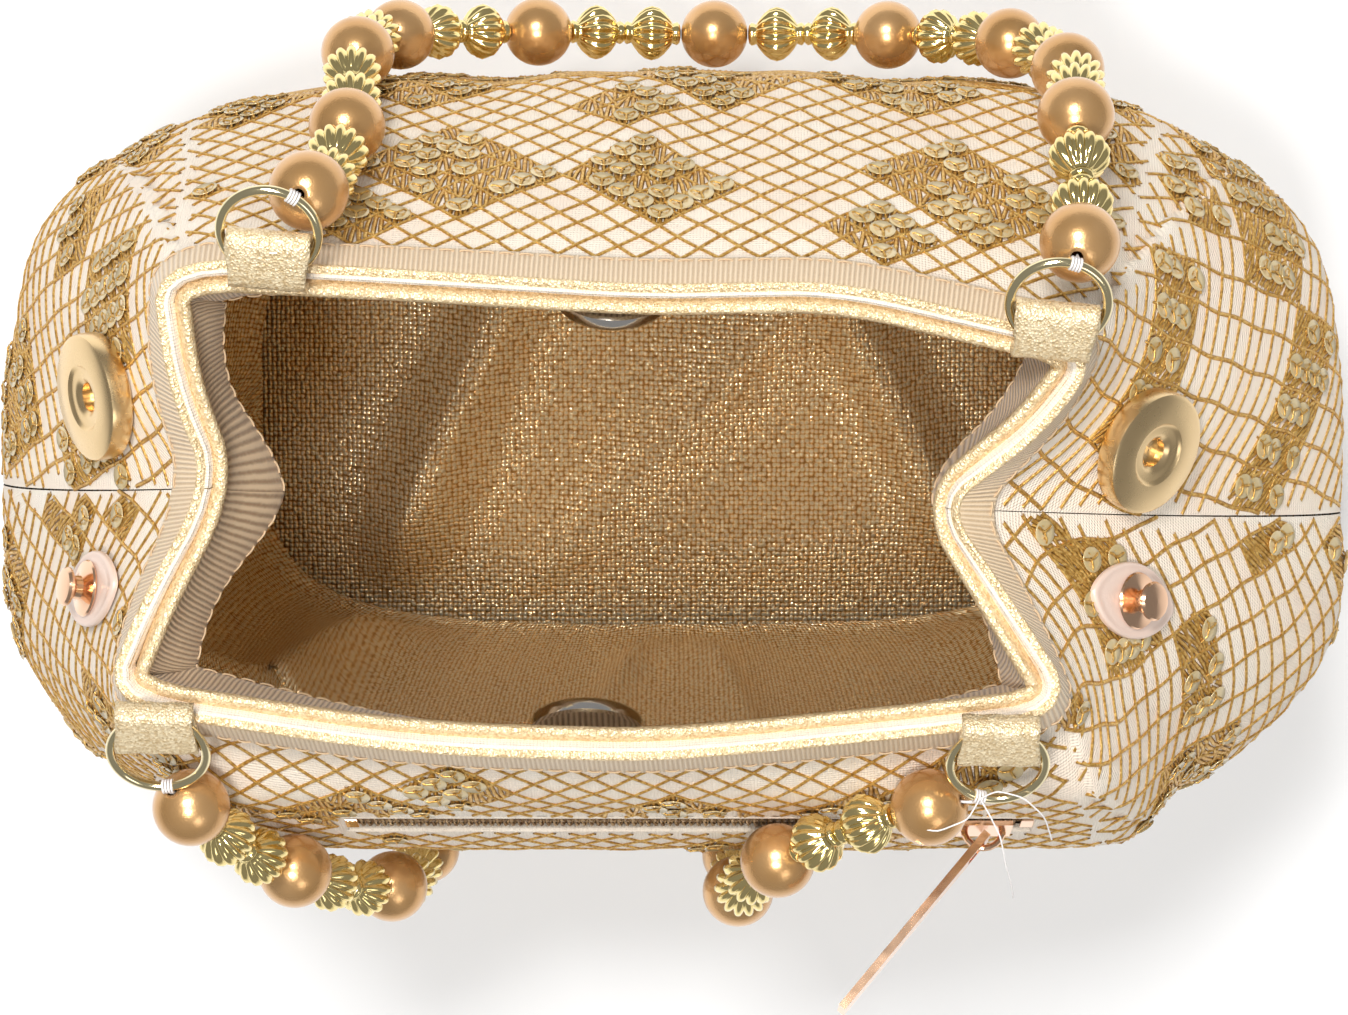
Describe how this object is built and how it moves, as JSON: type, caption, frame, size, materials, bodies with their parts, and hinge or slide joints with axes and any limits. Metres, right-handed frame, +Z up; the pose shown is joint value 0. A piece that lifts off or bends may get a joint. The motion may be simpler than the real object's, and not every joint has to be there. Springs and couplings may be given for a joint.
{
  "type": "potli bag",
  "caption": "Small soft potli handbag with a wide open mouth, two bead handles on rings, magnetic and side snaps and a zipped front pocket.",
  "frame": {"origin": "middle of the flat base, on the surface that the bag stands on", "axes": "+Z up to the open mouth, +X along the mouth, -Y the side with the zipped pocket"},
  "size_m": [0.227, 0.1594, 0.1759],
  "materials": {
    "brocade": "cream woven ground with a gold thread diamond net and stitched sequins",
    "lining_lurex": "brown gold lurex lining with a glitter sheen",
    "band_tape": "beige gold ribbed tape",
    "pocket_cloth": "plain brown gold cloth",
    "zip_tape": "woven brown tape",
    "zip_coil": "brown nylon coil",
    "zip_metal": "polished rose gold plating",
    "snap_nickel": "bright nickel plating",
    "snap_gold": "satin pale gold plating",
    "rose_patch": "pearly rose coated cloth",
    "loop_cloth": "glitter thread cloth",
    "ring_gold": "polished pale gold plating",
    "fluted_gold": "bright gold plated plastic, fluted",
    "pearl_copper": "satin copper gold pearl coat"
  },
  "bodies": {
    "bag": {"back_panel": "brocade", "front_panel": "brocade", "base_panel": "brocade", "lining": "lining_lurex", "lining_facing": "band_tape", "rim_band": "band_tape", "pocket_bag": "pocket_cloth", "zip_tape_upper": "zip_tape", "zip_tape_lower": "zip_tape", "zip_coil_upper": "zip_coil", "zip_coil_lower": "zip_coil", "zip_stop_left": "zip_metal", "zip_stop_right": "zip_metal", "snap_center_back": "snap_nickel", "snap_center_front": "snap_nickel", "snap_socket_left": "snap_gold", "snap_socket_right": "snap_gold", "snap_petal_left": "rose_patch", "snap_petal_right": "rose_patch", "snap_stud_left": "snap_gold", "snap_stud_right": "snap_gold"},
    "handle_back": {"loop_back_left": "loop_cloth", "ring_back_left": "ring_gold", "loop_back_right": "loop_cloth", "ring_back_right": "ring_gold", "strand_back": "fluted_gold", "pearl_back_01": "pearl_copper", "pearl_back_02": "pearl_copper", "pearl_back_03": "pearl_copper", "pearl_back_04": "pearl_copper", "pearl_back_05": "pearl_copper", "pearl_back_06": "pearl_copper", "pearl_back_07": "pearl_copper", "pearl_back_08": "pearl_copper", "pearl_back_09": "pearl_copper", "pearl_back_10": "pearl_copper", "pearl_back_11": "pearl_copper"},
    "handle_front": {"loop_front_left": "loop_cloth", "ring_front_left": "ring_gold", "loop_front_right": "loop_cloth", "ring_front_right": "ring_gold", "strand_front": "fluted_gold", "pearl_front_01": "pearl_copper", "pearl_front_02": "pearl_copper", "pearl_front_03": "pearl_copper", "pearl_front_04": "pearl_copper", "pearl_front_05": "pearl_copper", "pearl_front_06": "pearl_copper", "pearl_front_07": "pearl_copper", "pearl_front_08": "pearl_copper", "pearl_front_09": "pearl_copper", "pearl_front_10": "pearl_copper", "pearl_front_11": "pearl_copper"},
    "slider": {"zip_slider": "zip_metal"},
    "puller": {"zip_puller": "zip_metal"}
  },
  "joints": [
    {"name": "handle_back_swing", "type": "hinge", "parent": "bag", "child": "handle_back", "pos_m": [-0.06006, 0.04138, 0.16677], "axis": [0.9959, -0.0899, 0.0037], "range_deg": [0, 150]},
    {"name": "handle_front_swing", "type": "hinge", "parent": "bag", "child": "handle_front", "pos_m": [-0.07819, -0.02585, 0.16799], "axis": [-0.9999, 0.016, 0.0043], "range_deg": [0, 150]},
    {"name": "zip_slide", "type": "slide", "parent": "bag", "child": "slider", "axis": [-1, 0, 0], "range_m": [0, 0.016]},
    {"name": "puller_swing", "type": "hinge", "parent": "slider", "child": "puller", "pos_m": [0.05, -0.05364, 0.13059], "axis": [0, 0.454, 0.891], "range_deg": [0, 110]}
  ]
}
